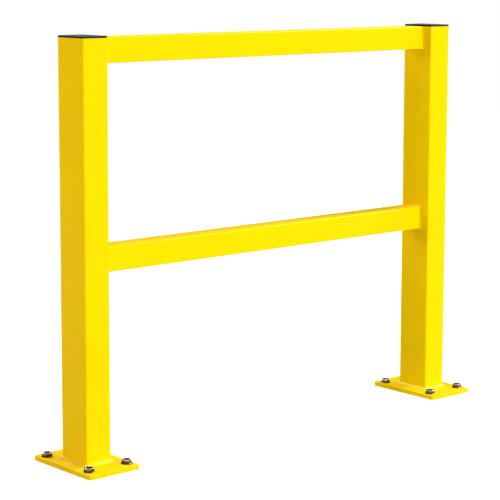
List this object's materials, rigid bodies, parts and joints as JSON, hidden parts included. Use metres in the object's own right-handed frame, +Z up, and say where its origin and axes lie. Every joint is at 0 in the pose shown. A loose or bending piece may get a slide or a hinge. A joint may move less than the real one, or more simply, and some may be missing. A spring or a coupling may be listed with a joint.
{
  "type": "industrial guard rail",
  "caption": "Straight box-section guard rail section: posts on bolted base plates, joined by a top rail and a middle rail, with plug end caps.",
  "frame": {"origin": "centre of the left base plate's underside, on the floor plane and on the left post's centre line", "axes": "+X along the rails from the left post to the right post, +Y across the rails to the back, +Z up"},
  "size_m": [1.375, 0.24, 1.1005],
  "materials": {
    "yellow_coat": "smooth bright yellow powder coat with a satin gloss, over steel",
    "black_cap": "moulded black plastic with a soft sheen",
    "zinc_plate": "zinc plating on steel, dark grey-brown with bright glints"
  },
  "bodies": {
    "root": {"left_base_plate": "yellow_coat", "left_post": "yellow_coat", "left_foot_weld": "yellow_coat", "left_end_cap": "black_cap", "left_washers": "zinc_plate", "left_floor_bolts": "zinc_plate", "right_base_plate": "yellow_coat", "right_post": "yellow_coat", "right_foot_weld": "yellow_coat", "right_end_cap": "black_cap", "right_washers": "zinc_plate", "right_floor_bolts": "zinc_plate", "top_rail": "yellow_coat", "top_rail_left_weld": "yellow_coat", "top_rail_right_weld": "yellow_coat", "middle_rail": "yellow_coat", "middle_rail_left_weld": "yellow_coat", "middle_rail_right_weld": "yellow_coat"}
  },
  "joints": []
}
